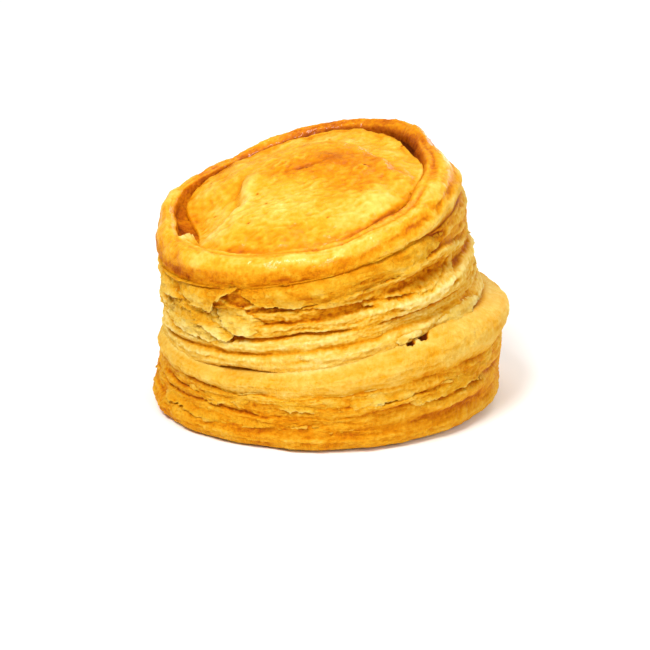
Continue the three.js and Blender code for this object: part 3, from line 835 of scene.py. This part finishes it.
def make_case():
    """Upper case: flaky leaves, torn skins, the rolled rim and the well."""
    surface = Surface(SEGMENTS)
    angle = surface.angle
    seat = roll_height(angle)
    middle = seat_rows(surface, seat, GAP, (*SEAT_SHARES, 1.0))
    foot_radius = mix(case_radius(0, angle) - 0.3, SEAT_RADIUS, UNDERCUT_DEPTH * swell(UNDERCUT, angle))
    foot = (foot_radius, seat + GAP - FOOT_SINK * (1 - swell(UNDERCUT, angle)))
    radii = [case_radius(i, angle) for i in range(len(CASE_LEAVES))] + [rim_radius(angle)]
    radius, height = add_leaves(surface, "case", CASE_LEAVES, radii, foot, CASE_LEAVES[0].shift)
    # a darker row in the seam under the rim: painted shade in that crevice
    surface.add(radius=radius, height=height, shift=CASE_LEAVES[-1].shift, bake=0.6)
    leaf_rows = surface.count()
    add_rim(surface)
    surface.close()
    on_rim = (np.arange(len(surface.radius)) >= leaf_rows)[:, None]
    break_away(surface, 300)
    laminate(surface, 310)
    torn_scales(surface, 340)
    points = surface.points()
    wrinkles = on_rim * (0.6 * layered(points, 9, 41, 2) + 0.18 * layered(points, (3, 3, 2), 42, 2))
    on_leaves = ~on_rim & (surface.rough > 0)
    fray = swell(FRAY, surface.turn) * layered(points, (3.2, 3.2, 1.2), 44, 3) * on_leaves
    rim_fray = swell(RIM_FRAY, surface.turn) * layered(points, (3.0, 3.0, 1.8), 45, 3) * on_rim
    relief = grain(surface.flat_points(), surface.rough, 7) + wrinkles + fray + rim_fray * (1 - surface.gloss)
    points = points + grid_normals(points) * relief[..., None]
    mottle = on_rim * 0.13 * layered(points, (10, 10, 6), 43, 2)
    # painted shade on the case's foot where it meets the base, deepest over the undercut
    shade_at_foot = (1 - smooth(-0.6, 0.9, surface.height - seat - GAP)) * ~on_rim
    shade_at_foot = shade_at_foot * (FOOT_SHADE["case"] + UNDERCUT_SHADE * swell(UNDERCUT, surface.turn))
    sheets = Sheets(surface)
    torn_skins(sheets, CASE_SKINS, leaf_rows, SKIN_SHADE["case"], 400)
    loose_flakes(sheets, CASE_LEAVES, FLAKE_COUNT["case"], FLAKE_SEED + 1)
    calm = 1 - 0.8 * smooth(WELL_LEVEL - 1, WELL_LEVEL + 1, surface.level)
    crusty = (1 - calm) * swell(GAP_SHADE, surface.turn) * layered(points, 3, 46, 3)
    # painted shade in hollows and a painted highlight on edges, with painted shade at the foot
    bake = surface.bake + calm * (shade_and_browning(points) + mottle) + shade_at_foot + crusty
    floor = (RIM_SHIFT, 0, rim_plane(RIM_SHIFT, 0) - WELL_DEPTH)
    body = ring_mesh("case_crust", points, {"bake": bake, "gloss": surface.gloss}, (0, 0, middle), floor)
    return body, sheets.build("case_flakes")


# Folds of the lid, from its middle in mm.
# Bumps: place, half widths along and across, direction in degrees, rise, tone (paler on the raised lens at
# 15, -19: a painted highlight; browner in the crease at -0.5, 4: painted shade)
LID_BUMPS = (
    (-18, -16, 7, 4, 20, 0.8, -0.04),
    (15, -19, 7.5, 4, 36, 1.5, -0.16),
    (-1, 12, 9, 9, 0, 0.5, 0.0),
    (6, -8, 7, 6, 0, -0.7, -0.04),
    (-0.5, 4, 3, 0.8, 8, -0.4, 0.09),
    (12, -5, 9, 6, -50, 0.2, 0.2),
    (0, 6, 9, 5, -8, 0.2, 0.18),
    (-22, -3, 5, 9, 0, 0.0, -0.11),
    (-6, -9, 10, 6, 10, 0.0, -0.06),
    (-10, -24, 14, 3, -6, 0.0, 0.12),
)
LID_BLISTERS = ((-5.9, 7.8, 1.6), (-1.5, 9.5, 1.0), (13, -3, 1.1))
LID_WRINKLES = (-3, -15, 9)  # a wrinkled place and its radius
LID_STEP = ((-10.7, 22.7), (9.5, 15.6), (22.9, -5.0))  # behind this line the top steps down
LID_FOLD = ((-25, -13.5), (-16.6, -5.8), (-15.5, 2.0))  # and to the left of this one
STEP_DEPTH = 1.5
RIDGE_WIDTH = 1.6  # the ridge along the fold
RIDGE_RISE = 0.8
BLISTER_EDGE = 0.5
BLISTER_RISE = 0.35
LID_BAKE = 0.42
# the lid is darker towards its edge: painted shade by the crease
LID_EDGE_SHADE = 0.24
LID_SPECKS = 14
SPECK_SIZE = 0.3
SPECK_BAKE = 0.5
# Rows of the lid's underside and edge: share of its radius, and share of the edge's height
LID_SIDE = ((0.5, 0.0), (0.94, 0.0), (0.985, 0.1), (1.0, 0.3), (1.0, 0.5), (1.0, 0.75), (0.995, 0.9))


def left_of_line(x, y, corners, join):
    """How far points lie to the left of a bent line, in mm. join: how its straight parts are put together."""
    parts = []
    for (ax, ay), (bx, by) in zip(corners, corners[1:]):
        length = math.hypot(bx - ax, by - ay)
        parts.append(((x - ax) * (ay - by) + (y - ay) * (bx - ax)) / length)
    return join(parts, axis=0)


def lid_folds(x, y):
    """Rise, and tone with its painted light and shade, of the lid's folds and blisters, as grids."""
    rise = np.zeros_like(x)
    tone_and_shade = np.zeros_like(x)
    for bx, by, long, wide, turn, up, tone in LID_BUMPS:
        c, s = math.cos(math.radians(turn)), math.sin(math.radians(turn))
        u, v = (x - bx) * c + (y - by) * s, (y - by) * c - (x - bx) * s
        spot = np.exp(-((u / long) ** 2 + (v / wide) ** 2) / 2)
        rise += up * spot
        tone_and_shade += tone * spot
    spot = np.stack([x, y, np.zeros_like(x)], -1)
    for bx, by, radius in LID_BLISTERS:
        far = np.hypot(x - bx, y - by) + 0.8 * noise(spot, 1.7, 74)
        ring = bell(far - radius, BLISTER_EDGE)
        rise += BLISTER_RISE * ring
        tone_and_shade -= 0.05 * ring
    step = left_of_line(x, y, LID_STEP, np.max) + 1.5 * layered(spot, 9, 71, 2)
    fold = left_of_line(x, y, LID_FOLD, np.min) + 0.8 * layered(spot, 6, 75, 2)
    shown = 1 - smooth(4, 12, y)
    ridge = bell(fold + RIDGE_WIDTH, RIDGE_WIDTH)
    rise += (RIDGE_RISE * ridge - STEP_DEPTH * smooth(-0.5, 2.0, fold)) * shown
    # paler on the ridge and darker on the sunk side left of the fold: painted light and shade
    tone_and_shade += (0.06 * smooth(0, 1, fold) - 0.1 * ridge) * shown
    rise -= STEP_DEPTH * smooth(-0.8, 2.4, step)
    # darker along the step: painted shade; paler on the lower top behind it
    tone_and_shade += 0.08 * bell(step, 1.8) - 0.04 * smooth(0, 2, step)
    return rise, tone_and_shade


def make_lid():
    """Domed, egg-washed lid with its folds, wrinkles and blisters."""
    surface = Surface(LID_SEGMENTS)
    angle = surface.angle
    joined = grown_together(angle)
    merged = swell(LID_MERGE, angle)
    edge = across_rim(WALL_SHARE, angle) - GAP - swells(LID_GAPS, angle)
    edge = edge + LID_REACH * joined + MERGE_REACH * merged
    under = GAP - WELL_DEPTH
    open_top = under + compass(LID_EDGE, angle) + swells(LID_DIPS, angle)
    edge_top = mix(open_top, rim_inside(angle) - CREASE, joined) + MERGE_RISE * merged
    # the lid's side wall is darker, most by the gap at the left: painted shade in the gap
    side = 0.6 + 0.6 * swell(GAP_SHADE, angle)
    for share, up in LID_SIDE:
        height = mix(under, edge_top, up)
        surface.add(radius=share * edge, height=height, shift=RIM_SHIFT, bake=side, gloss=0.3)
    for share in np.linspace(0.98, 0.01, LID_ROWS):
        rise, tone_and_shade = lid_folds(share * edge * np.cos(angle), share * edge * np.sin(angle))
        rise = LID_HEIGHT * (1 - share ** LID_FLATNESS) + rise * (1 - share ** FOLD_FLATNESS)
        height = mix(under + sum(LID_EDGE) / 4, edge_top, share ** 2) + rise
        # darker towards the edge and in the crease by the rim: painted shade
        edge_shade = LID_EDGE_SHADE * (1 - 0.8 * merged - swell(PALE_EDGE, angle)) * smooth(0.9, 1.0, share)
        tone_and_shade = tone_and_shade + LID_BAKE + edge_shade + swell(RED_CREASE_SHADE, angle) * smooth(0.94, 0.98, share)
        surface.add(radius=share * edge, height=height, shift=RIM_SHIFT, bake=tone_and_shade, gloss=1.0, rough=1.0)
    surface.close()
    points = surface.points()
    points[..., 2] += rim_plane(points[..., 0], points[..., 1])
    x, y = points[..., 0] - RIM_SHIFT, points[..., 1]
    wx, wy, wide = LID_WRINKLES
    wrinkled = bell(np.hypot(x - wx, y - wy), wide)
    creases = 1 - 2 * np.abs(noise(points, (3.2, 1.6, 2.4), 27))
    relief = 0.6 * layered(points, 8, 21, 3) + 0.22 * layered(points, 2.4, 22, 2)
    relief = relief + (0.1 + 0.2 * wrinkled) * creases
    points = points + grid_normals(points) * (relief * surface.rough)[..., None]
    # darker in the lid's hollows and paler on its bumps: painted shade and light
    close = np.clip(hollowness(points, 4, 4) / 0.2, -1, 1)
    bake = surface.bake + 0.1 * close + 0.08 * layered(points, (9, 9, 5), 23, 3)
    # paler flecks on the egg wash: painted glints
    bake = bake - 0.08 * smooth(0.05, 0.5, layered(points, (4, 4, 3), 24, 3)) * (surface.rough > 0)
    draw = np.random.default_rng(FLAKE_SEED)
    for sx, sy in draw.uniform(-24, 24, (LID_SPECKS, 2)):
        bake += SPECK_BAKE * bell(np.hypot(x - sx, y - sy), SPECK_SIZE)
    low = (RIM_SHIFT, 0, rim_plane(RIM_SHIFT, 0) + under)
    top = tuple(points[-1].mean(0))
    return ring_mesh("lid_crust", points, {"bake": bake, "gloss": surface.gloss}, low, top)


# Browning of the crust, from the palest torn dough to the darkest crevice, as screen colours
BROWNING = (
    (0.0, (247, 222, 142)),
    (0.2, (236, 194, 86)),
    (0.4, (229, 164, 32)),
    (0.55, (217, 136, 3)),
    (0.7, (190, 100, 0)),
    (0.85, (150, 66, 0)),
    (1.0, (96, 36, 0)),
)


# Looks that are the same all over the crust
CRUST = {
    "Coat Roughness": 0.15, "Specular IOR Level": 0.06, "Subsurface Weight": 0.2,
    "Subsurface Radius": (1.0, 0.9, 0.7), "Subsurface Scale": 0.0012,
}
# Grain of the crust: bumps to the metre
BROAD_GRAIN = 260
SHEEN_GRAIN = 500
FINE_GRAIN = 900
PIT_GRAIN = 2600
FINE_SHARE = 1.2  # how strong the fine mottling is beside the broad one
PIT_DEPTH = 0.6 * MM
POLISH = 0.14  # how much smoother egg wash makes the crust


def set_inputs(node, values):
    for name, value in values.items():
        node.inputs[name].default_value = value


def linear(colour):
    """A screen colour as the renderer's linear values."""
    shares = [c / 255 for c in colour]
    return tuple(s / 12.92 if s <= 0.04045 else ((s + 0.055) / 1.055) ** 2.4 for s in shares)


def new_material(name, settings):
    """A material and its shader, with these settings."""
    material = bpy.data.materials.new(name)
    material.use_nodes = True
    shader = material.node_tree.nodes["Principled BSDF"]
    set_inputs(shader, settings)
    return material, shader


def crust_material(name, roughness, coat, mottle):
    """Baked dough: tone from the mesh, browned and with painted shade and highlights, with mottling, a fine
    grain, and egg wash where it has gloss.
    """
    material, shader = new_material(name, CRUST)
    nodes, links = material.node_tree.nodes, material.node_tree.links
    place = nodes.new("ShaderNodeTexCoord").outputs["Object"]

    def mesh_value(key):
        made = nodes.new("ShaderNodeAttribute")
        made.attribute_name = key
        return made.outputs["Fac"]

    def math_node(operation, a, b):
        made = nodes.new("ShaderNodeMath")
        made.operation = operation
        for socket, value in zip(made.inputs, (a, b)):
            if isinstance(value, (int, float)):
                socket.default_value = value
            else:
                links.new(value, socket)
        return made.outputs[0]

    def grain_node(scale, detail):
        made = nodes.new("ShaderNodeTexNoise")
        set_inputs(made, {"Scale": scale, "Detail": detail, "Roughness": 0.6})
        links.new(place, made.inputs["Vector"])
        return made.outputs[0]

    def patches(scale, detail, depth):
        """Grain about 0 instead of 0.5, of this depth."""
        return math_node("MULTIPLY", math_node("SUBTRACT", grain_node(scale, detail), 0.5), depth)

    gloss = mesh_value("gloss")
    tone = math_node("ADD", mesh_value("bake"), patches(BROAD_GRAIN, 4, mottle))
    ramp = nodes.new("ShaderNodeValToRGB")
    links.new(math_node("ADD", tone, patches(FINE_GRAIN, 4, FINE_SHARE * mottle)), ramp.inputs[0])
    stops = ramp.color_ramp.elements
    while len(stops) < len(BROWNING):
        stops.new(0.5)
    for stop, (position, colour) in zip(stops, BROWNING):
        stop.position = position
        stop.color = (*linear(colour), 1)
    links.new(ramp.outputs[0], shader.inputs["Base Color"])
    dull = math_node("SUBTRACT", roughness, math_node("MULTIPLY", gloss, POLISH))
    links.new(math_node("ADD", dull, patches(SHEEN_GRAIN, 2, 0.25)), shader.inputs["Roughness"])
    links.new(math_node("MULTIPLY", gloss, coat), shader.inputs["Coat Weight"])
    bump = nodes.new("ShaderNodeBump")
    bump.inputs["Distance"].default_value = PIT_DEPTH
    links.new(math_node("SUBTRACT", 0.9, math_node("MULTIPLY", gloss, 0.6)), bump.inputs["Strength"])
    links.new(math_node("ADD", grain_node(FINE_GRAIN, 4), grain_node(PIT_GRAIN, 2)), bump.inputs["Height"])
    links.new(bump.outputs[0], shader.inputs["Normal"])
    return material


def dress(piece, node_name, material):
    piece.data.materials.append(material)
    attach(piece, "root")
    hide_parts(node_name)


base_dough = crust_material("base_dough", roughness=0.6, coat=0.05, mottle=0.26)
for base_piece in make_base():
    dress(base_piece, "base_disc", base_dough)
case_dough = crust_material("case_dough", roughness=0.6, coat=0.28, mottle=0.28)
for case_piece in make_case():
    dress(case_piece, "upper_case", case_dough)
lid_dough = crust_material("lid_dough", roughness=0.45, coat=0.14, mottle=0.2)
dress(make_lid(), "lid", lid_dough)


# Floor, light and camera
FLOOR_SIZE = 6.0
FLOOR = {"Base Color": (0.96, 0.96, 0.96, 1), "Roughness": 0.7}
WORLD = {"Color": (1, 0.95, 0.86, 1), "Strength": 0.34}
LIGHTS = (  # name, place and size in metres, watts
    ("key", (-0.3, -0.45, 0.8), 0.4, 8.4),
    ("fill", (0.5, -0.65, 0.5), 0.5, 3.0),
    ("top", (0.05, 0.2, 0.8), 0.5, 1.8),
    ("back", (0.35, 0.6, 0.16), 0.5, 2.4),
)
LIGHT_TARGET = (0, 0, 0.03)
CAMERA_TARGET = Vector((-0.75, 0, 17.2)) * MM
CAMERA_DISTANCE = 0.7
CAMERA_ELEVATION = math.radians(20)
CAMERA_LENS = 156
CAMERA_SENSOR = 36


def make_floor():
    mesh = bpy.data.meshes.new("floor")
    half = FLOOR_SIZE / 2
    corners = [(-half, -half, 0), (half, -half, 0), (half, half, 0), (-half, half, 0)]
    mesh.from_pydata(corners, [], [(0, 1, 2, 3)])
    floor = new_object("floor", mesh)
    mesh.materials.append(new_material("pale_floor", FLOOR)[0])


def aim(thing, place, target):
    thing.location = place
    thing.rotation_euler = (Vector(target) - Vector(place)).to_track_quat("-Z", "Y").to_euler()


def make_lights():
    for name, place, size, watts in LIGHTS:
        lamp = bpy.data.lights.new(name, "AREA")
        lamp.shape = "DISK"
        lamp.size = size
        lamp.energy = watts
        aim(new_object(name, lamp), place, LIGHT_TARGET)


def make_camera():
    camera = bpy.data.cameras.new("camera")
    camera.lens = CAMERA_LENS
    camera.sensor_width = CAMERA_SENSOR
    camera.clip_start = 0.01
    thing = new_object("camera", camera)
    back = Vector((0, -math.cos(CAMERA_ELEVATION), math.sin(CAMERA_ELEVATION)))
    aim(thing, CAMERA_TARGET + back * CAMERA_DISTANCE, CAMERA_TARGET)
    scene.camera = thing


def make_world():
    world = bpy.data.worlds.new("studio")
    world.use_nodes = True
    set_inputs(world.node_tree.nodes["Background"], WORLD)
    scene.world = world


make_floor()
make_lights()
make_world()
make_camera()
scene.view_settings.view_transform = "Standard"
scene.view_settings.look = "None"
